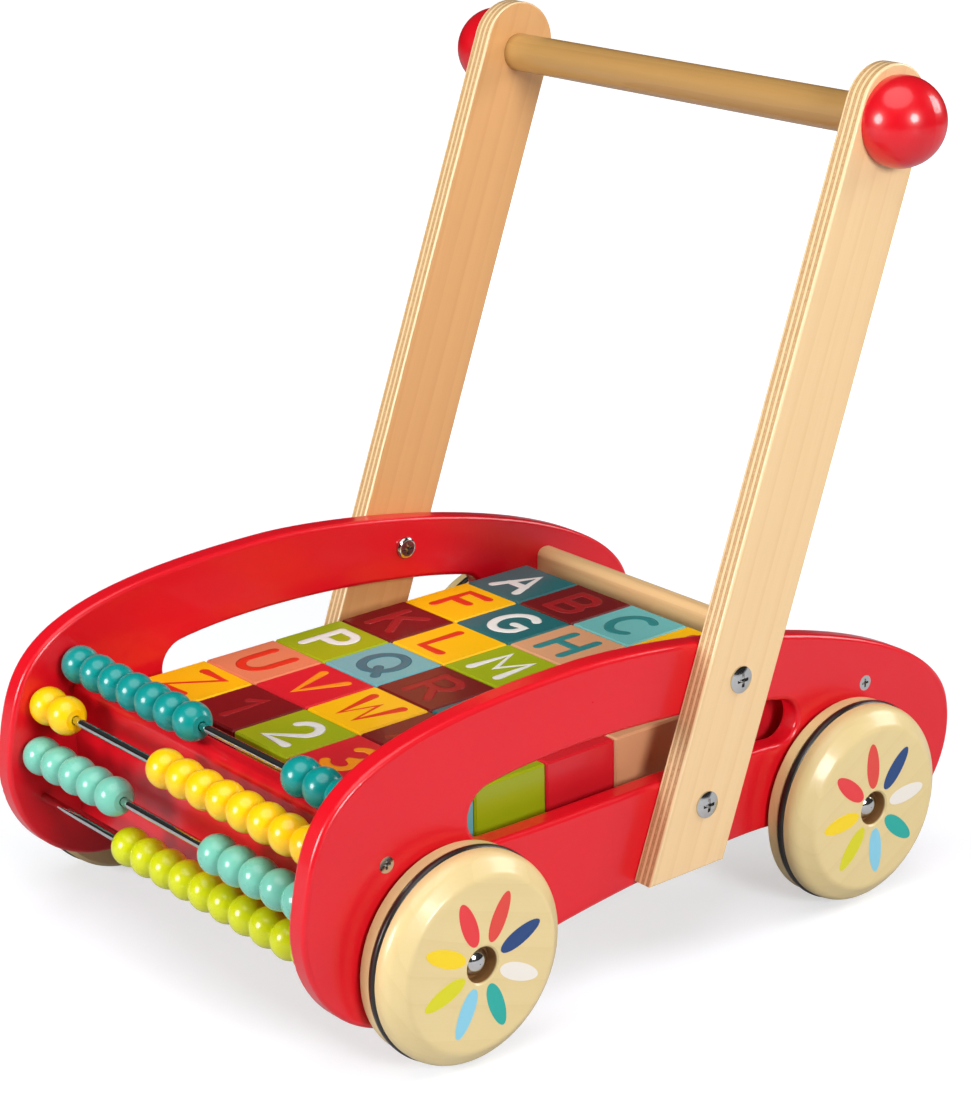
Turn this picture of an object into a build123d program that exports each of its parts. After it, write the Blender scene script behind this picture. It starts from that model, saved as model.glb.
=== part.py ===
from build123d import *
import os
from math import asin, cos, radians, sin, tan

# Wooden push walker with a tray of alphabet blocks and a bead frame.
# Origin on the ground under the middle of the walker, +X to its right-hand side,
# -Y the bead end, +Y the handle end, +Z up.  Millimetres.

os.makedirs("parts", exist_ok=True)

# ---- driving dimensions ---------------------------------------------------------------
PANEL_IN = 118.0            # inner face of a side panel, from the centre plane
PANEL_T = 12.0
PANEL_OUT = PANEL_IN + PANEL_T
NOSE_Y, NOSE_Z, NOSE_R = -150.0, 79.5, 59.7     # round front lobe of a side panel
TAIL_Y, TAIL_Z, TAIL_R = 160.5, 69.5, 50.5      # round rear lobe

AXLE_Z, AXLE_R = 52.4, 4.0
AXLE_YS = {"front": -130.3, "rear": 125.8}
WHEEL_R, RING_R, GROOVE_R = 51.6, 52.4, 47.4
WHEEL_IN = PANEL_OUT + 1.0  # inner face of a wheel
WHEEL_W = 25.6
GROOVE_AT, GROOVE_W = 8.0, 4.6
FACE_R, BEVEL_DEEP = 42.6, 7.0   # flat middle of the face, and the bevel round it
HUB_R, HUB_DEPTH = 8.8, 7.6
CAP_R, CAP_RIM, CAP_DOME = 6.6, 2.0, 3.4

BLOCK, PITCH = 43.5, 43.9
TRAY_Z, TRAY_T = 69.7, 9.0  # top face and thickness of the base board
ROW_A_Y = 102.4             # middle of the rearmost row of blocks

FRONT_Y, FRONT_T, FRONT_Z0, FRONT_Z1 = -162.8, 14.0, 47.9, 119.4
REAR_Y, REAR_T, REAR_Z0, REAR_Z1 = 145.4, 12.0, 58.0, 117.0

LEAN = 20.3                 # handle uprights lean back by this angle
UP_W, UP_T = 45.6, 12.0
UP_FOOT_Y, UP_FOOT_Z = 10.3, 47.8
BAR_ALONG = 373.0           # foot to handle bar, along the upright
UP_ABOVE = 4.0              # middle of an upright's round top, beyond the bar
BAR_R, BALL_R, BALL_OUT = 10.0, 22.0, 5.0

ROD_R, ROD_SUNK = 2.1, 8.0
BEAD_R, BEAD_L, BEAD_BORE = 9.8, 16.4, 2.4
RODS = {                    # name: (y, z, beads pushed left, beads pushed right)
    "teal": (-169.2, 130.1, 7, 3),
    "yellow": (-189.0, 113.2, 2, 8),
    "mint": (-194.8, 87.8, 5, 5),
    "lime": (-190.6, 61.6, 0, 10),
}

BOLT_ZS = (80.9, 139.9)     # the two bolts that hold each upright
BOLT_R, BOLT_RIM, BOLT_DOME = 6.8, 0.9, 1.3
NUT_T = 2.4
SCREWS = [                  # (y, z) of the countersunk screws in each side panel
    (FRONT_Y, 103.1), (FRONT_Y, 70.0), (-100.0, TRAY_Z - TRAY_T / 2),
    (95.0, TRAY_Z - TRAY_T / 2), (REAR_Y, 75.0), (REAR_Y, 107.3),
]

parts = {}


def along_x(radius, x0, x1, y, z):
    """Round bar lying along X from x0 to x1."""
    return Pos((x0 + x1) / 2, y, z) * Rot(0, 90, 0) * Cylinder(radius, abs(x1 - x0))


def lathe_x(profile, y, z):
    """Turned piece about an axis along X; the profile is (x, radius)."""
    return Pos(0, y, z) * revolve(Plane.XY * profile, Axis.X)


def dome(x, radius, height):
    """Edge of a shallow dome that stands on a disc at x and ends on the axis."""
    ball = (radius ** 2 + height ** 2) / (2 * height)
    half = asin(radius / ball) / 2
    top_x = x + height
    return ThreePointArc((x, radius), (top_x - ball * (1 - cos(half)), ball * sin(half)),
                         (top_x, 0))


def mirrored(shape):
    return mirror(shape, Plane.YZ)


def on_circle(cy, cz, r, degrees):
    return (cy + r * cos(radians(degrees)), cz + r * sin(radians(degrees)))


def along_circle(degrees):
    """Clockwise direction of travel on a circle at this angle."""
    return (sin(radians(degrees)), -cos(radians(degrees)))


def upright_y(z):
    """Middle line of an upright at height z."""
    return UP_FOOT_Y + (z - UP_FOOT_Z) * tan(radians(LEAN))


# ---- fasteners ------------------------------------------------------------------------
def cross_recess(x, y, z, size, depth):
    """Cross-head recess cut inwards from x."""
    arm = Box(depth * 2, size, size / 4) + Box(depth * 2, size / 4, size)
    return Pos(x, y, z) * arm


def wood_screw(y, z):
    """Countersunk screw flush with the outer face of the right panel."""
    head = Pos(PANEL_OUT - 1.3, y, z) * Rot(0, 90, 0) * Cone(2.0, 4.0, 2.6)
    shank = along_x(2.0, PANEL_OUT - 34, PANEL_OUT - 2.6, y, z)
    return head + shank


def handle_bolt(z):
    """Domed bolt through an upright and its side panel."""
    y, face = upright_y(z), PANEL_OUT + UP_T
    rim = face + BOLT_RIM
    head = make_face(Polyline((rim + BOLT_DOME, 0), (face, 0), (face, BOLT_R), (rim, BOLT_R))
                     + dome(rim, BOLT_R, BOLT_DOME))
    return lathe_x(head, y, z) + along_x(3.0, PANEL_IN + 3, face, y, z)


def barrel_nut(z):
    """Flanged barrel nut on the inner face of the right panel."""
    y = upright_y(z)
    flange = along_x(6.2, PANEL_IN - NUT_T, PANEL_IN, y, z)
    flange = fillet(flange.edges().filter_by(GeomType.CIRCLE).sort_by(Axis.X)[0], 1.8)
    sleeve = along_x(4.5, PANEL_IN, PANEL_OUT - 1, y, z)
    return flange + sleeve - along_x(3.0, PANEL_IN + 3, PANEL_OUT, y, z)


bolts = [handle_bolt(z) for z in BOLT_ZS]
nuts = [barrel_nut(z) for z in BOLT_ZS]
screws = [wood_screw(y, z) for y, z in SCREWS]

# ---- side panels ----------------------------------------------------------------------
# One 12 mm board each: a long arched top, a round lobe at each end, a shallow arch
# between the wheels and a long curved slot.
def round_part(circle, from_deg, to_deg):
    """Clockwise arc of one of the panel's circles."""
    middle = (from_deg + to_deg) / 2
    return ThreePointArc(on_circle(*circle, from_deg), on_circle(*circle, middle),
                         on_circle(*circle, to_deg))


def flowing(start, start_dir, start_pull, end, end_dir, end_pull):
    """Smooth curve that leaves and arrives along the given directions."""
    near = (start[0] + start_dir[0] * start_pull, start[1] + start_dir[1] * start_pull)
    far = (end[0] - end_dir[0] * end_pull, end[1] - end_dir[1] * end_pull)
    return Bezier(start, near, far, end)


NOSE, TAIL = (NOSE_Y, NOSE_Z, NOSE_R), (TAIL_Y, TAIL_Z, TAIL_R)
crown, arch = (-45.0, 166.3), (60.0, 48.0)      # highest points of the top and the arch
outline = make_face(
    flowing(on_circle(*NOSE, 170), along_circle(170), 43.6, crown, (1, 0), 151.9)
    + flowing(crown, (1, 0), 60.3, on_circle(*TAIL, 15), along_circle(15), 57.5)
    + round_part(TAIL, 15, -115)
    + flowing(on_circle(*TAIL, -115), along_circle(-115), 15.8, arch, (-1, 0), 53.0)
    + flowing(arch, (-1, 0), 59.2, on_circle(*NOSE, 292), along_circle(292), 38.4)
    + round_part(NOSE, 292, 170))
SLOT_FRONT, SLOT_REAR = (-100.5, 109.5, 14.5), (86.0, 102.0, 11.3)
slot = make_face(
    flowing(on_circle(*SLOT_FRONT, 100), along_circle(100), 50.8,
            on_circle(*SLOT_REAR, 75), along_circle(75), 49.5)
    + round_part(SLOT_REAR, 75, -95)
    + flowing(on_circle(*SLOT_REAR, -95), along_circle(-95), 60.0,
              on_circle(*SLOT_FRONT, 268), along_circle(268), 60.0)
    + round_part(SLOT_FRONT, 268, 100))
panel = extrude(Plane.YZ.offset(PANEL_IN) * (outline - slot), PANEL_T)
rims = [e for e in panel.edges() if abs(e.bounding_box().size.X) < 0.01]
panel = fillet(rims, 2.4)
for y in AXLE_YS.values():
    panel -= along_x(AXLE_R, PANEL_IN - 1, PANEL_OUT + 1, y, AXLE_Z)
for y, z, _, _ in RODS.values():
    panel -= along_x(ROD_R, PANEL_IN - 1, PANEL_IN + ROD_SUNK, y, z)
for z in BOLT_ZS:
    panel -= along_x(4.5, PANEL_IN - 1, PANEL_OUT + 1, upright_y(z), z)
for screw in screws:
    panel -= screw
parts["side_panel_right"] = panel
parts["side_panel_left"] = mirrored(panel)

# ---- boards of the tray ---------------------------------------------------------------
def cross_board(y, thick, z0, z1, top_round):
    """Board standing across the walker, with its long top edges rounded."""
    board = Pos(0, y, (z0 + z1) / 2) * Box(2 * PANEL_IN, thick, z1 - z0)
    long_top = board.edges().filter_by(Axis.X).group_by(Axis.Z)[-1]
    return fillet(long_top, top_round)


def with_screw_holes(board):
    for screw in screws:
        board -= screw
        board -= mirrored(screw)
    return board


base_y0, base_y1 = FRONT_Y + FRONT_T / 2, REAR_Y - REAR_T / 2
base = Pos(0, (base_y0 + base_y1) / 2, TRAY_Z - TRAY_T / 2) * Box(
    2 * PANEL_IN, base_y1 - base_y0, TRAY_T)
parts["base_board"] = with_screw_holes(base)
parts["front_board"] = with_screw_holes(
    cross_board(FRONT_Y, FRONT_T, FRONT_Z0, FRONT_Z1, 5.5))
parts["rear_board"] = with_screw_holes(
    cross_board(REAR_Y, REAR_T, REAR_Z0, REAR_Z1, 5.0))

# ---- handle ---------------------------------------------------------------------------
# Two plywood uprights bolted outside the panels, a round bar and a ball on each end.
bar_y = UP_FOOT_Y + BAR_ALONG * sin(radians(LEAN))
bar_z = UP_FOOT_Z + BAR_ALONG * cos(radians(LEAN))
lean_plane = Plane(origin=(PANEL_OUT, bar_y, bar_z), x_dir=(0, 1, 0), z_dir=(1, 0, 0))
strip = SlotCenterToCenter(2 * BAR_ALONG, UP_W)
upright = extrude(lean_plane * (Rot(0, 0, 90 - LEAN) * Pos(UP_ABOVE - BAR_ALONG, 0) * strip), UP_T)
upright = split(upright, Plane.XY.offset(UP_FOOT_Z), keep=Keep.TOP)
upright = fillet([e for e in upright.edges() if abs(e.bounding_box().size.X) < 0.01], 1.2)
for z in BOLT_ZS:
    upright -= along_x(3.0, PANEL_OUT - 1, PANEL_OUT + UP_T + 1, upright_y(z), z)
upright -= along_x(BAR_R, PANEL_OUT - 1, PANEL_OUT + UP_T + 1, bar_y, bar_z)
parts["handle_upright_right"] = upright
parts["handle_upright_left"] = mirrored(upright)

face = PANEL_OUT + UP_T
bar_end = face + 12
parts["handle_bar"] = along_x(BAR_R, -bar_end, bar_end, bar_y, bar_z)
ball = Pos(face + BALL_OUT, bar_y, bar_z) * Sphere(BALL_R)
ball = split(ball, Plane.YZ.offset(face), keep=Keep.TOP)
ball -= along_x(BAR_R, face - 1, bar_end, bar_y, bar_z)
parts["handle_balls"] = Compound(children=[ball, mirrored(ball)])

# ---- wheels ---------------------------------------------------------------------------
# Turned wood discs about X with a rounded outer edge, a recess for the axle cap and a
# rubber ring seated in a groove.
def wheel_profile():
    x0, x1 = WHEEL_IN, WHEEL_IN + WHEEL_W
    g0, g1 = x0 + GROOVE_AT, x0 + GROOVE_AT + GROOVE_W
    bore, hub_x = AXLE_R + 0.05, x1 - HUB_DEPTH
    rim, crease = (x1 - BEVEL_DEEP, WHEEL_R), (x1, FACE_R)
    section = make_face(Polyline(
        (x0, bore), (x0, WHEEL_R - 2), (x0 + 2, WHEEL_R), (g0, WHEEL_R), (g0, GROOVE_R),
        (g1, GROOVE_R), (g1, WHEEL_R), rim, crease, (x1, HUB_R + 0.8), (x1 - 0.8, HUB_R),
        (hub_x, HUB_R), (hub_x, bore), (x0, bore)))
    for corner, radius in ((rim, 8.0), (crease, 5.0)):
        nearest = section.vertices().sort_by_distance((*corner, 0))[0]
        section = fillet(nearest, radius)
    return section


def ring_profile():
    g0 = WHEEL_IN + GROOVE_AT
    section = Pos(g0 + GROOVE_W / 2, (GROOVE_R + RING_R) / 2) * Rectangle(
        GROOVE_W, RING_R - GROOVE_R)
    return fillet(section.vertices().group_by(Axis.Y)[-1], 2.0)


axle_end = WHEEL_IN + WHEEL_W - HUB_DEPTH + 0.4 + CAP_RIM


def cap_profile():
    """Domed push-on cap over the end of an axle."""
    x0, rim = axle_end - CAP_RIM, axle_end
    cup = Polyline((rim + CAP_DOME, 0), (rim, 0), (rim, AXLE_R), (x0, AXLE_R),
                   (x0, CAP_R), (rim, CAP_R))
    return make_face(cup + dome(rim, CAP_R, CAP_DOME))


axles, caps = [], []
for end, y in AXLE_YS.items():
    wheel = lathe_x(wheel_profile(), y, AXLE_Z)
    ring = lathe_x(ring_profile(), y, AXLE_Z)
    cap = lathe_x(cap_profile(), y, AXLE_Z)
    parts[f"wheel_{end}_right"], parts[f"wheel_{end}_left"] = wheel, mirrored(wheel)
    parts[f"tyre_ring_{end}_right"], parts[f"tyre_ring_{end}_left"] = ring, mirrored(ring)
    axles.append(along_x(AXLE_R, -axle_end, axle_end, y, AXLE_Z))
    caps += [cap, mirrored(cap)]
parts["axles"] = Compound(children=axles)
parts["axle_caps"] = Compound(children=caps)

# ---- bolts, nuts and screws, each with its cross recess ---------------------------------
def both_sides(shapes):
    return Compound(children=shapes + [mirrored(s) for s in shapes])


parts["handle_bolts"] = both_sides(
    [b - cross_recess(face + BOLT_RIM + BOLT_DOME, upright_y(z), z, 7.0, 1.8)
     for b, z in zip(bolts, BOLT_ZS)])
parts["handle_nuts"] = both_sides(
    [n - cross_recess(PANEL_IN - NUT_T, upright_y(z), z, 6.4, 1.6)
     for n, z in zip(nuts, BOLT_ZS)])
parts["panel_screws"] = both_sides(
    [s - cross_recess(PANEL_OUT, y, z, 4.6, 1.4) for s, (y, z) in zip(screws, SCREWS)])

# ---- bead frame -----------------------------------------------------------------------
# Four steel rods across the nose, ten beads on each; the beads of a group slide together.
parts["bead_rods"] = Compound(children=[
    along_x(ROD_R, -PANEL_IN - ROD_SUNK, PANEL_IN + ROD_SUNK, y, z)
    for y, z, _, _ in RODS.values()])


def bead(x, y, z):
    """Ball with flat ends round its hole."""
    ball = Sphere(BEAD_R) & Box(BEAD_L, 2 * BEAD_R, 2 * BEAD_R)
    ball -= along_x(BEAD_BORE, -BEAD_L, BEAD_L, 0, 0)
    return Pos(x, y, z) * ball


for name, (y, z, n_left, n_right) in RODS.items():
    for side, sign, count in (("left", -1, n_left), ("right", 1, n_right)):
        if count:
            x_first = PANEL_IN - 0.3 - BEAD_L / 2
            parts[f"beads_{name}_{side}"] = Compound(children=[
                bead(sign * (x_first - i * BEAD_L), y, z) for i in range(count)])

# ---- alphabet blocks --------------------------------------------------------------------
# Five across and six rows, read from the bead end; A is at the rear left.
LETTERS = "ABCDE" "FGHIJ" "KLMNO" "PQRST" "UVWXY" "Z1234"
for i, letter in enumerate(LETTERS):
    row, column = divmod(i, 5)
    cube = Box(BLOCK, BLOCK, BLOCK)
    cube = chamfer(cube.edges(), 1.0)
    parts[f"block_{letter}"] = Pos(
        (column - 2) * PITCH, ROW_A_Y - row * PITCH, TRAY_Z + BLOCK / 2) * cube

for name, shape in parts.items():
    export_step(shape, f"parts/{name}.step")
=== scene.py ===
from math import atan2, cos, pi, radians, sin

import bmesh
import bpy
from mathutils import Matrix, Vector


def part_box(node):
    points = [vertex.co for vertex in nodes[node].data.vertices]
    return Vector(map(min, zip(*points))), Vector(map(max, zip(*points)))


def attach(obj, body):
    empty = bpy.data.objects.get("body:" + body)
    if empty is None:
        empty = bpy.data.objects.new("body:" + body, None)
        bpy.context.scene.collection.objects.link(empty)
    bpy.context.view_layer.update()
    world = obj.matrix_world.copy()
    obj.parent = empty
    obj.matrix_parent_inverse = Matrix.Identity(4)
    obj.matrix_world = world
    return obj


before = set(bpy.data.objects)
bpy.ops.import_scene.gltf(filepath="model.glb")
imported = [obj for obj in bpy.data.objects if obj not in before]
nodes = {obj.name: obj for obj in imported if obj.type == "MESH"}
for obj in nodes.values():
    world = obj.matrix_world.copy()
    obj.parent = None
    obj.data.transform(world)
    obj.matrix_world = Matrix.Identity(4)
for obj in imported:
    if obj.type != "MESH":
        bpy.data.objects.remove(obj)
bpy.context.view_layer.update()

scene = bpy.context.scene

# ---- side panels and front board ------------------------------------------------------------
# Wooden boards with their edges rounded over, sprayed with red lacquer and screwed
# together.  The lacquer is thick and glossy, with a faint ripple in it.


def tint(code, level=1.0):
    """Linear colour of a paint mixed to this six-digit shade; level darkens it."""
    channels = [int(code[i:i + 2], 16) / 255 for i in (0, 2, 4)]
    return tuple(level * (c / 12.92 if c <= 0.04045 else ((c + 0.055) / 1.055) ** 2.4)
                 for c in channels) + (1.0,)


def wire(tree, source, target):
    """Joins an output socket to an input socket."""
    tree.links.new(source, target)


def add(tree, kind, **settings):
    """Adds a shader node; settings are its properties, or its inputs given as {name: value}."""
    made = tree.nodes.new(kind)
    for name, value in settings.pop("inputs", {}).items():
        made.inputs[name].default_value = value
    for name, value in settings.items():
        setattr(made, name, value)
    return made


def group_of(name, inputs, outputs):
    """Empty shader group with these sockets; returns (tree, its inputs, its outputs)."""
    tree = bpy.data.node_groups.new(name, "ShaderNodeTree")
    for label, kind, default in inputs:
        socket = tree.interface.new_socket(label, in_out="INPUT", socket_type="NodeSocket" + kind)
        if default is not None:
            socket.default_value = default
    for label, kind in outputs:
        tree.interface.new_socket(label, in_out="OUTPUT", socket_type="NodeSocket" + kind)
    entry, leave = tree.nodes.new("NodeGroupInput"), tree.nodes.new("NodeGroupOutput")
    return tree, entry.outputs, leave.inputs


def material(name, **shader_values):
    """Material with one Principled shader; returns (material, tree, shader)."""
    made = bpy.data.materials.new(name)
    made.use_nodes = True
    shader = made.node_tree.nodes["Principled BSDF"]
    for label, value in shader_values.items():
        shader.inputs[label.replace("_", " ")].default_value = value
    return made, made.node_tree, shader


def place(tree, group):
    """Puts a shader group into a material's tree."""
    made = tree.nodes.new("ShaderNodeGroup")
    made.node_tree = group
    return made


def work_out(tree, operation, a, b, clamp=False):
    """a and b are sockets or numbers; returns the result's socket."""
    made = add(tree, "ShaderNodeMath", operation=operation, use_clamp=clamp)
    for socket, value in zip(made.inputs, (a, b)):
        if isinstance(value, (int, float)):
            socket.default_value = value
        else:
            wire(tree, value, socket)
    return made.outputs[0]


def blend_colours(tree, amount, a, b):
    """Mix of two colours; each is a socket or a colour."""
    made = add(tree, "ShaderNodeMix", data_type="RGBA")
    for socket, value in ((made.inputs[0], amount), (made.inputs[6], a), (made.inputs[7], b)):
        if hasattr(value, "is_output"):
            wire(tree, value, socket)
        else:
            socket.default_value = value
    return made.outputs[2]


def noise(tree, vector, scale, detail=3.0, roughness=0.55):
    """Cloudy pattern from 0 to 1; a higher scale makes it finer."""
    made = add(tree, "ShaderNodeTexNoise",
               inputs={"Scale": scale, "Detail": detail, "Roughness": roughness})
    wire(tree, vector, made.inputs["Vector"])
    return made.outputs["Fac"]


ROUGH_SPREAD = 0.12     # how much the paint's roughness varies


def paint_film_group():
    """Sprayed paint: slightly uneven colour and gloss, and a ripple in the film."""
    tree, given, out = group_of(
        "paint_film",
        [("Coordinates", "Vector", None), ("Colour", "Color", (0.8, 0.8, 0.8, 1)),
         ("Unevenness", "Float", 0.08), ("Base roughness", "Float", 0.25),
         ("Ripple", "Float", 1.0)],
        [("Colour", "Color"), ("Roughness", "Float"), ("Height", "Float")])
    cloud = noise(tree, given["Coordinates"], scale=14.0, detail=4.0)
    fine = noise(tree, given["Coordinates"], scale=420.0, detail=2.0)
    smear = noise(tree, given["Coordinates"], scale=60.0, detail=5.0, roughness=0.7)
    shade = work_out(tree, "MULTIPLY", work_out(tree, "SUBTRACT", cloud, 0.5), given["Unevenness"])
    value = work_out(tree, "ADD", shade, 1.0)
    tone = add(tree, "ShaderNodeHueSaturation")
    wire(tree, given["Colour"], tone.inputs["Color"])
    wire(tree, value, tone.inputs["Value"])
    wire(tree, tone.outputs[0], out["Colour"])
    patch = work_out(tree, "MULTIPLY", work_out(tree, "SUBTRACT", smear, 0.5), ROUGH_SPREAD)
    wire(tree, work_out(tree, "ADD", given["Base roughness"], patch, clamp=True), out["Roughness"])
    ripple = work_out(tree, "MULTIPLY", work_out(tree, "ADD", fine, smear), given["Ripple"])
    wire(tree, ripple, out["Height"])
    return tree


paint_film = paint_film_group()


def painted(name, colour, rough, unevenness, coat, ripple=1.0, depth=0.00003):
    """Painted wood of one colour; ripple is the strength of its waves, depth their height."""
    made, tree, shader = material(name, Coat_Weight=coat, Coat_Roughness=0.1,
                                  Specular_IOR_Level=0.4)
    where = tree.nodes.new("ShaderNodeTexCoord")
    film = place(tree, paint_film)
    film.inputs["Colour"].default_value = colour
    film.inputs["Base roughness"].default_value = rough
    film.inputs["Unevenness"].default_value = unevenness
    film.inputs["Ripple"].default_value = ripple
    wire(tree, where.outputs["Object"], film.inputs["Coordinates"])
    wire(tree, film.outputs["Colour"], shader.inputs["Base Color"])
    wire(tree, film.outputs["Roughness"], shader.inputs["Roughness"])
    bump = add(tree, "ShaderNodeBump", inputs={"Strength": 0.5, "Distance": depth})
    wire(tree, film.outputs["Height"], bump.inputs["Height"])
    wire(tree, bump.outputs["Normal"], shader.inputs["Normal"])
    return made


def finish_node(name, made):
    """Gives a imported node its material."""
    for held in nodes[name].material_slots:
        held.material = made


red_lacquer = painted("red_lacquer", tint("d60a1c"), rough=0.3, unevenness=0.12, coat=0.25)
for name in ("side_panel_left", "side_panel_right", "front_board"):
    finish_node(name, red_lacquer)

# ---- rear board, base board and handle bar --------------------------------------------------
# Plain light wood, planed and clear varnished, its grain running across the walker.  The
# bar is a turned dowel of a browner wood.
GRAIN_BEND = 0.016      # how far the growth lines wander, in metres
GRAIN_SLANT = 0.55      # how much the lines shift from one face to the next
RING_SHARP = 3.0        # how suddenly a growth line ends
RING_SHARE, FIBRE_SHARE, STREAK_SHARE = 0.35, 0.4, 0.55
PALE_LEVEL = 0.38       # grain fainter than this stays the light wood's colour
VARNISH_ROUGH, FIBRE_ROUGH = 0.28, 0.2


def grain_group():
    """Wood with its grain along X of the coordinates: broad figure, growth lines, fibres."""
    tree, given, out = group_of(
        "wood_grain",
        [("Coordinates", "Vector", None), ("Light wood", "Color", (0.8, 0.6, 0.36, 1)),
         ("Dark wood", "Color", (0.6, 0.4, 0.2, 1)), ("Line spacing", "Float", 0.006),
         ("Contrast", "Float", 0.6)],
        [("Colour", "Color"), ("Roughness", "Float"), ("Height", "Float")])

    def stretched(along, across):
        """Coordinates drawn out along the grain."""
        scaled = add(tree, "ShaderNodeVectorMath", operation="MULTIPLY")
        wire(tree, given["Coordinates"], scaled.inputs[0])
        scaled.inputs[1].default_value = (along, across, across)
        return scaled.outputs[0]

    figure = noise(tree, stretched(along=2.2, across=22.0), scale=1.0, detail=2.0)
    apart = add(tree, "ShaderNodeSeparateXYZ")
    wire(tree, given["Coordinates"], apart.inputs[0])
    bend = work_out(tree, "MULTIPLY", figure, GRAIN_BEND)
    slant = work_out(tree, "MULTIPLY", apart.outputs["Z"], GRAIN_SLANT)
    across = work_out(tree, "ADD", work_out(tree, "ADD", apart.outputs["Y"], bend), slant)
    turns = work_out(tree, "DIVIDE", across, given["Line spacing"])
    saw = work_out(tree, "FRACT", turns, 0.0)
    ring = work_out(tree, "POWER", saw, RING_SHARP)
    fibre = noise(tree, stretched(along=28.0, across=900.0), scale=1.0, detail=4.0,
                  roughness=0.65)
    streak = noise(tree, stretched(along=5.0, across=160.0), scale=1.0)
    lines = work_out(tree, "MULTIPLY", ring, RING_SHARE)
    fibres = work_out(tree, "MULTIPLY", fibre, FIBRE_SHARE)
    streaks = work_out(tree, "MULTIPLY", streak, STREAK_SHARE)
    depth = work_out(tree, "ADD", lines, work_out(tree, "ADD", fibres, streaks))
    above_pale = work_out(tree, "SUBTRACT", depth, PALE_LEVEL)
    dark = work_out(tree, "MULTIPLY", above_pale, given["Contrast"], clamp=True)
    colour = blend_colours(tree, dark, given["Light wood"], given["Dark wood"])
    wire(tree, colour, out["Colour"])
    rough = work_out(tree, "ADD", work_out(tree, "MULTIPLY", fibre, FIBRE_ROUGH), VARNISH_ROUGH)
    wire(tree, rough, out["Roughness"])
    wire(tree, work_out(tree, "SUBTRACT", 1.0, depth), out["Height"])
    return tree


wood_grain = grain_group()


def varnished(name, light, dark, spacing, turn=(0, 0, 0), contrast=0.6, coat=0.35,
              shift=(0, 0, 0)):
    """Clear-varnished wood; turn brings the grain's direction onto X, shift moves its figure,
    spacing is the width of a growth line.  Returns (material, tree, shader, coordinates
    node, grain node)."""
    made, tree, shader = material(name, Coat_Weight=coat, Coat_Roughness=0.12)
    where = tree.nodes.new("ShaderNodeTexCoord")
    turned = add(tree, "ShaderNodeMapping", inputs={"Rotation": turn, "Location": shift})
    wood = place(tree, wood_grain)
    wood.inputs["Light wood"].default_value = light
    wood.inputs["Dark wood"].default_value = dark
    wood.inputs["Line spacing"].default_value = spacing
    wood.inputs["Contrast"].default_value = contrast
    wire(tree, where.outputs["Object"], turned.inputs["Vector"])
    wire(tree, turned.outputs["Vector"], wood.inputs["Coordinates"])
    wire(tree, wood.outputs["Colour"], shader.inputs["Base Color"])
    wire(tree, wood.outputs["Roughness"], shader.inputs["Roughness"])
    bump = add(tree, "ShaderNodeBump", inputs={"Strength": 0.35, "Distance": 0.00008})
    wire(tree, wood.outputs["Height"], bump.inputs["Height"])
    wire(tree, bump.outputs["Normal"], shader.inputs["Normal"])
    return made, tree, shader, where, wood


clear_pine = varnished("clear_pine", tint("dfba86"), tint("bd8648"), spacing=0.007)[0]
bar_wood = varnished("bar_wood", tint("b48a4e"), tint("90622c"), spacing=0.009,
                     shift=(0.3, 0.2, 0.1))[0]
for name in ("rear_board", "base_board"):
    finish_node(name, clear_pine)
finish_node("handle_bar", bar_wood)

# ---- handle uprights ------------------------------------------------------------------------
# Two leaning strips of birch plywood with a round top, clear varnished, the left one coloured
# as a darker, warmer veneer that is painted shade.  Broad faces show the veneer's grain along
# the strip; edges show the plies, light and dark in turn, with thin dark glue lines between them.
PANEL_FACE_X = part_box("side_panel_right")[1][0]
UPRIGHT_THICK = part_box("handle_upright_right")[1][0] - PANEL_FACE_X
PLY_COUNT = 7
PLY_WOBBLE = 0.0006
END_GRAIN = 0.1         # how dark the ends of the fibres are between the flecks
GLUE_SHARE, GLUE_DARK = 0.13, 0.75
BROAD_FACE = 0.93       # a surface facing sideways more than this is a broad face
BOLT_HEAD = 0.014
bolt_low, bolt_high = (Vector(c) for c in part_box("handle_bolts"))
bolt_span = bolt_high - bolt_low
LEAN = atan2(bolt_span.y - BOLT_HEAD, bolt_span.z - BOLT_HEAD)


def ply_group():
    """Edge of plywood: layers across X, counted outward from the faces of the side panels."""
    tree, given, out = group_of(
        "ply_layers",
        [("Coordinates", "Vector", None), ("Layer", "Float", 0.0017),
         ("Light ply", "Color", (0.8, 0.6, 0.36, 1)), ("Dark ply", "Color", (0.5, 0.3, 0.15, 1))],
        [("Colour", "Color")])
    apart = add(tree, "ShaderNodeSeparateXYZ")
    wire(tree, given["Coordinates"], apart.inputs[0])
    from_middle = work_out(tree, "ABSOLUTE", apart.outputs["X"], 0.0)
    outward = work_out(tree, "SUBTRACT", from_middle, PANEL_FACE_X)
    wave = work_out(tree, "SUBTRACT", noise(tree, given["Coordinates"], scale=45.0), 0.5)
    wobble = work_out(tree, "MULTIPLY", wave, PLY_WOBBLE)
    layer = work_out(tree, "DIVIDE", work_out(tree, "ADD", outward, wobble), given["Layer"])
    odd = work_out(tree, "GREATER_THAN", work_out(tree, "MODULO", layer, 2.0), 1.0)
    within = work_out(tree, "FRACT", layer, 0.0)
    glue = work_out(tree, "LESS_THAN", within, GLUE_SHARE)
    fleck = noise(tree, given["Coordinates"], scale=700.0, roughness=0.7)
    end_grain = work_out(tree, "MULTIPLY", work_out(tree, "ADD", fleck, END_GRAIN), odd)
    colour = blend_colours(tree, end_grain, given["Light ply"], given["Dark ply"])
    glue_line = work_out(tree, "MULTIPLY", glue, GLUE_DARK)
    lined = blend_colours(tree, glue_line, colour, given["Dark ply"])
    wire(tree, lined, out["Colour"])
    return tree


ply_layers = ply_group()


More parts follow.
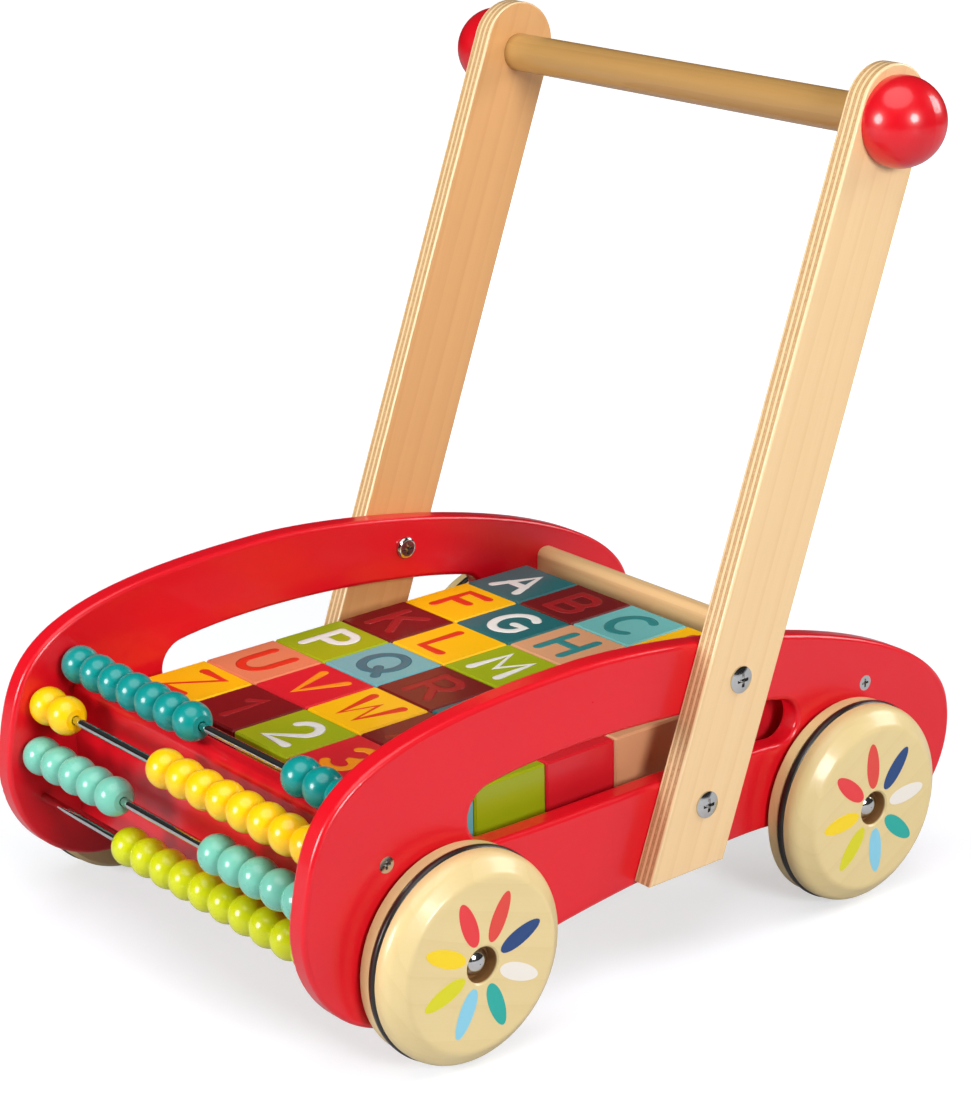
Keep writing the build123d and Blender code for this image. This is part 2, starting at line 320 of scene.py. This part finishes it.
def plywood(name, light_veneer, dark_veneer):
    """Plywood strip leaning back; its faces are veneer, its edges show the plies."""
    made, tree, shader, where, wood = varnished(
        name, light_veneer, dark_veneer, turn=(0, pi / 2, 0), spacing=0.011, contrast=0.55)
    turned = wood.inputs["Coordinates"].links[0].from_node
    leaned = add(tree, "ShaderNodeMapping", inputs={"Rotation": (LEAN, 0, 0)})
    wire(tree, where.outputs["Object"], leaned.inputs["Vector"])
    wire(tree, leaned.outputs["Vector"], turned.inputs["Vector"])
    edge = place(tree, ply_layers)
    edge.inputs["Layer"].default_value = UPRIGHT_THICK / PLY_COUNT
    edge.inputs["Light ply"].default_value = tint("e9cb9b")
    edge.inputs["Dark ply"].default_value = tint("a8713a")
    wire(tree, where.outputs["Object"], edge.inputs["Coordinates"])
    facing = add(tree, "ShaderNodeSeparateXYZ")
    wire(tree, where.outputs["Normal"], facing.inputs[0])
    sideways = work_out(tree, "ABSOLUTE", facing.outputs["X"], 0.0)
    broad = work_out(tree, "GREATER_THAN", sideways, BROAD_FACE)
    colour = blend_colours(tree, broad, edge.outputs["Colour"], wood.outputs["Colour"])
    wire(tree, colour, shader.inputs["Base Color"])
    return made


finish_node("handle_upright_right", plywood("birch_right", tint("e6c391"), tint("cd9b63")))
# The left upright's darker, warmer veneer is painted shade: the same birch as the right one,
# coloured as its inner face looks in shade with warm light thrown back onto it.
finish_node("handle_upright_left", plywood("birch_left_shaded", tint("dea76b"), tint("c58448")))

# ---- balls on the handle bar ----------------------------------------------------------------
# Turned wooden balls, cut flat where they meet the uprights and fixed to the ends of the
# bar; dipped in glossy red paint.
ball_red = painted("ball_red", tint("d00819"), rough=0.3, unevenness=0.06, ripple=0.6,
                   coat=0.4)
finish_node("handle_balls", ball_red)

# ---- bolts, nuts, screws and axle caps ------------------------------------------------------
# Stamped steel, nickel plated.  The plating is bright, with a fine grain and a haze of
# handling marks.
HAZE_LEVEL, HAZE_ROUGH = 0.82, 0.08


def plated(name, shade, rough):
    """Plated steel; rough is the roughness where it is cleanest."""
    made, tree, shader = material(name, Metallic=1.0)
    where = tree.nodes.new("ShaderNodeTexCoord")
    haze = noise(tree, where.outputs["Object"], scale=240.0, detail=4.0, roughness=0.7)
    fine = noise(tree, where.outputs["Object"], scale=1500.0, detail=2.0)
    colour = blend_colours(tree, haze, tint(shade), tint(shade, HAZE_LEVEL))
    wire(tree, colour, shader.inputs["Base Color"])
    hazed = work_out(tree, "MULTIPLY", haze, HAZE_ROUGH)
    wire(tree, work_out(tree, "ADD", hazed, rough), shader.inputs["Roughness"])
    bump = add(tree, "ShaderNodeBump", inputs={"Strength": 0.4, "Distance": 0.00001})
    wire(tree, fine, bump.inputs["Height"])
    wire(tree, bump.outputs["Normal"], shader.inputs["Normal"])
    return made


bright_nickel = plated("bright_nickel", "dcdad6", rough=0.08)
for name in ("handle_bolts", "handle_nuts", "panel_screws", "axle_caps"):
    finish_node(name, bright_nickel)

# ---- axles and bead rods --------------------------------------------------------------------
# Drawn steel rod, plated, smoother than the stamped fasteners.  The bead rods sit in blind
# holes in the panels; each axle carries a wheel at either end.
drawn_steel = plated("drawn_steel", "dad9d6", rough=0.03)
for name in ("axles", "bead_rods"):
    finish_node(name, drawn_steel)

# ---- wheels ---------------------------------------------------------------------------------
# Turned from pale close-grained wood, with a broad bevel and soft edges, and clear
# varnished.  The grain runs straight across each disc, turned differently on every wheel;
# the wood inside the hub's recess is painted darker, partly bare wood and partly painted shade.
GRAIN_TURN = {"front_right": 0.35, "rear_right": -0.5, "front_left": 1.1, "rear_left": 2.2}
GRAIN_SHIFT = 0.1       # moves the figure, so that no two wheels show the same
HUB_RADIUS = 0.009
RECESS_LIP = 0.0006     # depth at which the darker wood, bare wood and painted shade in one, begins
RECESS_FADE = 900.0     # it reaches its full tone about 1 mm further in


def bare_and_shaded_hub(tree, where, wood_colour, hub, half_width):
    """Darker wood inside the hub's recess, partly bare wood and partly painted shade; hub is the
    wheel's middle.
    """
    centred = add(tree, "ShaderNodeVectorMath", operation="SUBTRACT")
    wire(tree, where.outputs["Object"], centred.inputs[0])
    centred.inputs[1].default_value = hub
    apart = add(tree, "ShaderNodeSeparateXYZ")
    wire(tree, centred.outputs[0], apart.inputs[0])
    square_y = work_out(tree, "POWER", apart.outputs["Y"], 2.0)
    square_z = work_out(tree, "POWER", apart.outputs["Z"], 2.0)
    from_axle = work_out(tree, "SQRT", work_out(tree, "ADD", square_y, square_z), 0.0)
    inside = work_out(tree, "LESS_THAN", from_axle, HUB_RADIUS)
    from_middle = work_out(tree, "ABSOLUTE", apart.outputs["X"], 0.0)
    depth = work_out(tree, "SUBTRACT", half_width, from_middle)
    past_lip = work_out(tree, "SUBTRACT", depth, RECESS_LIP)
    bare_and_shaded = work_out(tree, "MULTIPLY", past_lip, RECESS_FADE, clamp=True)
    return blend_colours(tree, work_out(tree, "MULTIPLY", inside, bare_and_shaded), wood_colour,
                         tint("8a6238"))


for place_name, turn in GRAIN_TURN.items():
    made, tree, shader, where, wood = varnished(
        "wheel_wood_" + place_name, tint("dbc48c"), tint("bf9f60"), turn=(turn, 0, pi / 2),
        spacing=0.008, contrast=0.3, coat=0.25, shift=(turn, GRAIN_SHIFT * turn, 0))
    low, high = (Vector(c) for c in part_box("wheel_" + place_name))
    hub = (low + high) / 2
    # The hub's recess is painted darker: bare wood in part, painted shade in part.
    recess = bare_and_shaded_hub(tree, where, wood.outputs["Colour"], hub, (high.x - low.x) / 2)
    wire(tree, recess, shader.inputs["Base Color"])
    finish_node("wheel_" + place_name, made)

# ---- printed petals on the wheels -----------------------------------------------------------
# Eight slim petals, screen printed round each hub in solid ink that stands just proud of
# the varnish.
PETAL_COLOURS = [("poppy", "dc3033"), ("coral", "d63c30"), ("navy", "0c3a72"),
                 ("chalk", "e3dcd2"), ("teal", "12a094"), ("sky", "80c2d8"),
                 ("lime", "cfc900"), ("sun", "ecc900")]
PETAL_LENGTH, PETAL_WIDTH, PETAL_FROM = 0.0246, 0.0087, 0.0112
PETAL_TAPER = 0.18      # how much slimmer a petal is at its outer end than at its inner one
PETAL_SIDES = 40
INK_HEIGHT = 0.00012
INK_SUNK = 0.3          # share of the ink's height that lies in the wood
FIRST_PETAL = {"front": radians(-19), "rear": radians(-49)}


def mesh_object(name, bm):
    """Turns finished geometry into an object in the scene."""
    mesh = bpy.data.meshes.new(name)
    bm.to_mesh(mesh)
    bm.free()
    made = bpy.data.objects.new(name, mesh)
    scene.collection.objects.link(made)
    return made


def petal(name, hub, side, angle):
    """Slim oval of ink on the outer face of a wheel; angle is from straight up to the rear."""
    bm = bmesh.new()
    bmesh.ops.create_circle(bm, cap_ends=True, segments=PETAL_SIDES, radius=0.5)
    bmesh.ops.scale(bm, vec=(PETAL_WIDTH, PETAL_LENGTH, 1), verts=bm.verts)
    for vert in bm.verts:
        vert.co.x *= 1.0 - PETAL_TAPER * vert.co.y / PETAL_LENGTH
    raised = bmesh.ops.extrude_face_region(bm, geom=bm.faces[:])
    lifted = [g for g in raised["geom"] if isinstance(g, bmesh.types.BMVert)]
    bmesh.ops.translate(bm, vec=(0, 0, INK_HEIGHT), verts=lifted)
    bmesh.ops.translate(bm, vec=(0, PETAL_FROM + PETAL_LENGTH / 2, 0), verts=bm.verts)
    out_of_face = Matrix(((0, 0, side), (side, 0, 0), (0, 1, 0))).to_4x4()
    spin = Matrix.Rotation(-angle, 4, "X")
    bmesh.ops.transform(bm, matrix=Matrix.Translation(hub) @ spin @ out_of_face,
                        verts=bm.verts)
    bmesh.ops.recalc_face_normals(bm, faces=bm.faces)
    return mesh_object(name, bm)


inks = {label: painted("ink_" + label, tint(shade), rough=0.32, unevenness=0.05, coat=0.3)
        for label, shade in PETAL_COLOURS}
for end in ("front", "rear"):
    for side_name, side in (("right", 1), ("left", -1)):
        low, high = (Vector(c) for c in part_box(f"wheel_{end}_{side_name}"))
        hub = (low + high) / 2
        hub.x = (high.x if side > 0 else low.x) - side * INK_HEIGHT * INK_SUNK
        for i, (label, _) in enumerate(PETAL_COLOURS):
            print_piece = petal(f"petal_{label}_{end}_{side_name}", hub, side,
                                FIRST_PETAL[end] + i * 2 * pi / len(PETAL_COLOURS))
            print_piece.data.materials.append(inks[label])
            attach(print_piece, f"wheel_body_{end}_{side_name}")

# ---- rubber rings ---------------------------------------------------------------------------
# Black rubber rings stretched into the grooves of the wheels to grip the floor; matt, with
# a dusty bloom.
DUST_ROUGH, RUBBER_ROUGH = 0.25, 0.22


def rubber():
    """Black rubber with a bloom of dust."""
    made, tree, shader = material("ring_rubber", Coat_Weight=0.0)
    where = tree.nodes.new("ShaderNodeTexCoord")
    dust = noise(tree, where.outputs["Object"], scale=90.0, detail=5.0, roughness=0.7)
    grit = noise(tree, where.outputs["Object"], scale=1300.0, detail=2.0)
    wire(tree, blend_colours(tree, dust, tint("0b0908"), tint("26201c")),
         shader.inputs["Base Color"])
    dusted = work_out(tree, "MULTIPLY", dust, DUST_ROUGH)
    wire(tree, work_out(tree, "ADD", dusted, RUBBER_ROUGH), shader.inputs["Roughness"])
    bump = add(tree, "ShaderNodeBump", inputs={"Strength": 0.5, "Distance": 0.00005})
    wire(tree, grit, bump.inputs["Height"])
    wire(tree, bump.outputs["Normal"], shader.inputs["Normal"])
    return made


ring_rubber = rubber()
for place_name in GRAIN_TURN:
    finish_node("tyre_ring_" + place_name, ring_rubber)

# ---- beads ----------------------------------------------------------------------------------
# Turned wooden balls with flat ends, threaded on the rods; tumbled in glossy paint, ten of
# each colour.
BEADS = {"teal": "008a86", "yellow": "f8c300", "mint": "74bfaa", "lime": "ced306"}
bead_paint = {label: painted("bead_paint_" + label, tint(shade), rough=0.28, unevenness=0.1,
                             ripple=0.8, coat=0.35) for label, shade in BEADS.items()}
for name in nodes:
    if name.startswith("beads_"):
        finish_node(name, bead_paint[name.split("_")[1]])

# ---- alphabet blocks ------------------------------------------------------------------------
# Wooden cubes with softened edges in satin paint, each with one character printed on top
# in a rounded brush line of even width.
BLOCK_SHADES = {
    "petrol": "1a6468", "maroon": "6c0f12", "aqua": "6cb4b2", "yellow": "f5b800",
    "red": "d01c28", "tan": "d29a70", "lime": "98a80c", "blue": "66a9ae", "salmon": "dc7f58"}
INK_SHADES = {"white": "dfdfda", "scarlet": "d92f14", "dull red": "98181c", "teal": "2c7f80",
              "navy": "2c6c78", "orange": "f08e10", "brown": "8a2c18"}
BLOCKS = {
    "A": ("petrol", "white"), "B": ("maroon", "dull red"), "C": ("aqua", "teal"),
    "D": ("yellow", "scarlet"), "E": ("red", "white"),
    "F": ("yellow", "scarlet"), "G": ("petrol", "white"), "H": ("tan", "teal"),
    "I": ("yellow", "teal"), "J": ("aqua", "white"),
    "K": ("maroon", "dull red"), "L": ("yellow", "scarlet"), "M": ("lime", "white"),
    "N": ("yellow", "scarlet"), "O": ("tan", "teal"),
    "P": ("lime", "white"), "Q": ("blue", "navy"), "R": ("maroon", "dull red"),
    "S": ("petrol", "white"), "T": ("red", "orange"),
    "U": ("salmon", "scarlet"), "V": ("red", "orange"), "W": ("yellow", "scarlet"),
    "X": ("maroon", "brown"), "Y": ("lime", "white"),
    "Z": ("yellow", "scarlet"), "1": ("maroon", "dull red"), "2": ("lime", "white"),
    "3": ("red", "orange"), "4": ("blue", "navy")}
LETTER_HEIGHT, LETTER_WIDTH = 0.0256, 0.0232
BRUSH = 0.0028          # radius of the brush
# A stroke's rounded end: how far past the last point, and how wide, in brush radii.
ROUND_END = ((1.0, 0.04), (0.87, 0.5), (0.5, 0.87))


def arc(cx, cy, rx, ry, first, last, steps=14):
    """Points along part of an oval, angles in degrees."""
    turns = [radians(first + (last - first) * i / steps) for i in range(steps + 1)]
    return [(cx + rx * cos(t), cy + ry * sin(t)) for t in turns]


# Strokes of each character in a box one unit high and wide, its middle at 0, 0.
STEM = [(-.36, -.5), (-.36, .5)]
UPPER_BOWL = [(-.36, .5), *arc(.04, .23, .32, .27, 90, -90), (-.36, -.04)]
GLYPHS = {
    "A": [[(-.42, -.5), (0, .5), (.42, -.5)], [(-.26, -.14), (.26, -.14)]],
    "B": [STEM, UPPER_BOWL, [(-.36, -.02), *arc(.06, -.26, .34, .24, 90, -90), (-.36, -.5)]],
    "C": [arc(.05, 0, .46, .5, 52, 308, 22)],
    "D": [STEM, [(-.36, .5), *arc(-.06, 0, .46, .5, 90, -90, 18), (-.36, -.5)]],
    "E": [[(.34, .5), (-.34, .5), (-.34, -.5), (.34, -.5)], [(-.34, .02), (.24, .02)]],
    "F": [[(.34, .5), (-.34, .5), (-.34, -.5)], [(-.34, .02), (.24, .02)]],
    "G": [[*arc(.04, 0, .46, .5, 52, 325, 22), (.44, -.04), (.1, -.04)]],
    "H": [[(-.38, -.5), (-.38, .5)], [(.38, -.5), (.38, .5)], [(-.38, 0), (.38, 0)]],
    "I": [[(0, -.5), (0, .5)]],
    "J": [[(.22, .5), (.22, -.2), *arc(-.08, -.2, .3, .3, -12, -160, 10)]],
    "K": [STEM, [(.36, .5), (-.36, -.06)], [(-.12, .14), (.4, -.5)]],
    "L": [[(-.32, .5), (-.32, -.5), (.36, -.5)]],
    "M": [[(-.46, -.5), (-.38, .5), (0, -.2), (.38, .5), (.46, -.5)]],
    "N": [[(-.38, -.5), (-.38, .5), (.38, -.5), (.38, .5)]],
    "O": [arc(0, 0, .48, .5, 90, 450, 28)],
    "P": [STEM, UPPER_BOWL],
    "Q": [arc(0, .02, .46, .48, 90, 450, 28), [(.12, -.2), (.48, -.54)]],
    "R": [STEM, UPPER_BOWL, [(-.02, -.04), (.38, -.5)]],
    "S": [[*arc(0, .25, .34, .25, 40, 265), *arc(0, -.25, .36, .25, 85, -145)]],
    "T": [[(-.4, .5), (.4, .5)], [(0, .5), (0, -.5)]],
    "U": [[(-.38, .5), *arc(0, -.12, .38, .38, 180, 360), (.38, .5)]],
    "V": [[(-.42, .5), (0, -.5), (.42, .5)]],
    "W": [[(-.5, .5), (-.26, -.5), (0, .3), (.26, -.5), (.5, .5)]],
    "X": [[(-.4, .5), (.4, -.5)], [(.4, .5), (-.4, -.5)]],
    "Y": [[(-.4, .5), (0, .02), (.4, .5)], [(0, .02), (0, -.5)]],
    "Z": [[(-.38, .5), (.38, .5), (-.38, -.5), (.38, -.5)]],
    "1": [[(-.2, .28), (.06, .5), (.06, -.5)]],
    "2": [[*arc(0, .2, .34, .3, 165, -35), (-.38, -.5), (.4, -.5)]],
    "3": [[*arc(-.02, .25, .3, .25, 145, -85), *arc(-.02, -.25, .34, .25, 85, -150)]],
    "4": [[(.2, -.5), (.2, .5), (-.4, -.2), (.42, -.2)]],
}


def brush_line(curve, points):
    """One stroke with rounded ends, as a spline of the curve."""
    path = [Vector((x * LETTER_WIDTH, y * LETTER_HEIGHT, 0)) for x, y in points]
    if (path[0] - path[-1]).length < BRUSH / 4:
        path.append(path[1])
    first = (path[0] - path[1]).normalized() * BRUSH
    last = (path[-1] - path[-2]).normalized() * BRUSH
    line = [(path[0] + first * past, wide) for past, wide in ROUND_END]
    line += [(point, 1.0) for point in path]
    line += [(path[-1] + last * past, wide) for past, wide in reversed(ROUND_END)]
    spline = curve.splines.new("POLY")
    spline.points.add(len(line) - 1)
    for point, (spot, wide) in zip(spline.points, line):
        point.co = (*spot, 1.0)
        point.radius = wide


def letter(character, middle, face_z):
    """The printed character, lying on the block's top face and read from the bead end."""
    curve = bpy.data.curves.new("stroke_" + character, "CURVE")
    curve.dimensions = "3D"
    curve.bevel_depth, curve.bevel_resolution = BRUSH, 2
    for stroke in GLYPHS[character]:
        brush_line(curve, stroke)
    pen = bpy.data.objects.new("pen", curve)
    scene.collection.objects.link(pen)
    mesh = bpy.data.meshes.new_from_object(pen)
    bpy.data.objects.remove(pen)
    mesh.transform(Matrix.Translation((middle.x, middle.y, face_z))
                   @ Matrix.Diagonal((1, 1, INK_HEIGHT / BRUSH, 1)))
    bm = bmesh.new()
    bm.from_mesh(mesh)
    bpy.data.meshes.remove(mesh)
    bmesh.ops.recalc_face_normals(bm, faces=bm.faces)
    made = mesh_object("letter_" + character, bm)
    made.data.shade_smooth()
    return made


block_paint = {label: painted("block_paint_" + label, tint(shade), rough=0.34,
                              unevenness=0.1, coat=0.25, depth=0.00005)
               for label, shade in BLOCK_SHADES.items()}
letter_ink = {label: painted("letter_ink_" + label.replace(" ", "_"), tint(shade), rough=0.4,
                             unevenness=0.06, coat=0.15)
              for label, shade in INK_SHADES.items()}
for character, (ground, ink) in BLOCKS.items():
    finish_node("block_" + character, block_paint[ground])
    low, high = (Vector(c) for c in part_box("block_" + character))
    printed = letter(character, (low + high) / 2, high.z)
    printed.data.materials.append(letter_ink[ink])
    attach(printed, "block_body_" + character)

# ---- floor, light and camera ----------------------------------------------------------------
# A plain pale floor that grows brighter away from the walker, before a white backdrop,
# under large soft lights.
FLOOR_SIZE = 6.0
FLOOR_SHADES = (0.50, 0.52, 0.56, 1), (0.53, 0.55, 0.59, 1)
FLOOR_FILL, FAR_FILL, NEAR_FLOOR = 0.55, 0.42, 0.45
SKY_LEVEL, SKY_RISE, BACKDROP = 0.38, 0.85, 20.0
MIDDLE = Vector((0, 0, 0.2))
bm = bmesh.new()
bmesh.ops.create_grid(bm, x_segments=2, y_segments=2, size=FLOOR_SIZE)
floor = mesh_object("floor", bm)
floor_paper, tree, shader = material("floor_paper", Roughness=0.8, Specular_IOR_Level=0.1)
where = tree.nodes.new("ShaderNodeTexCoord")
fibre = noise(tree, where.outputs["Object"], scale=300.0, detail=2.0)
wire(tree, blend_colours(tree, fibre, *FLOOR_SHADES), shader.inputs["Base Color"])
away = add(tree, "ShaderNodeVectorMath", operation="LENGTH")
wire(tree, where.outputs["Object"], away.inputs[0])
distance = work_out(tree, "SUBTRACT", away.outputs["Value"], NEAR_FLOOR, clamp=True)
fill = work_out(tree, "ADD", work_out(tree, "MULTIPLY", distance, FAR_FILL), FLOOR_FILL)
seen = tree.nodes.new("ShaderNodeLightPath")
shader.inputs["Emission Color"].default_value = (1.0, 1.0, 1.0, 1.0)
wire(tree, work_out(tree, "MULTIPLY", seen.outputs["Is Camera Ray"], fill),
     shader.inputs["Emission Strength"])
floor.data.materials.append(floor_paper)

world = bpy.data.worlds.new("studio")
world.use_nodes = True
sky = world.node_tree
upward = sky.nodes.new("ShaderNodeSeparateXYZ")
wire(sky, sky.nodes.new("ShaderNodeTexCoord").outputs["Generated"], upward.inputs[0])
height = work_out(sky, "MAXIMUM", upward.outputs["Z"], 0.0)
lit = work_out(sky, "ADD", work_out(sky, "MULTIPLY", height, SKY_RISE), SKY_LEVEL)
looked_at = sky.nodes.new("ShaderNodeLightPath").outputs["Is Camera Ray"]
backdrop = work_out(sky, "MULTIPLY", looked_at, BACKDROP)
wire(sky, work_out(sky, "ADD", lit, backdrop), sky.nodes["Background"].inputs["Strength"])
scene.world = world


def softbox(name, position, size, watts):
    """Round soft lamp that looks at the middle of the walker."""
    lamp = bpy.data.lights.new(name, "AREA")
    lamp.shape, lamp.size, lamp.energy = "DISK", size, watts
    made = bpy.data.objects.new(name, lamp)
    made.location = position
    made.rotation_euler = (made.location - MIDDLE).to_track_quat("Z", "Y").to_euler()
    scene.collection.objects.link(made)


softbox("left_light", (-0.5, -2.15, 0.85), size=0.9, watts=40)
softbox("right_light", (2.3, -0.35, 1.05), size=0.8, watts=40)
softbox("top_light", (0.3, -0.5, 2.3), size=2.4, watts=34)
softbox("back_light", (1.0, 2.3, 1.3), size=1.2, watts=28)

CAMERA_AT = Vector((1.0588, -0.8676, 0.6579))
CAMERA_AIM = Vector((0.0008, 0.0037, 0.1793))
CAMERA_ROLL = radians(-0.94)
LENS, SENSOR = 94.63, 36.0      # millimetres
camera_data = bpy.data.cameras.new("camera")
camera_data.lens, camera_data.sensor_width = LENS, SENSOR
camera = bpy.data.objects.new("camera", camera_data)
camera.location = CAMERA_AT
level = (CAMERA_AT - CAMERA_AIM).to_track_quat("Z", "Y")
camera.rotation_euler = (level.to_matrix() @ Matrix.Rotation(CAMERA_ROLL, 3, "Z")).to_euler()
scene.collection.objects.link(camera)
scene.camera = camera
scene.view_settings.view_transform = "Standard"
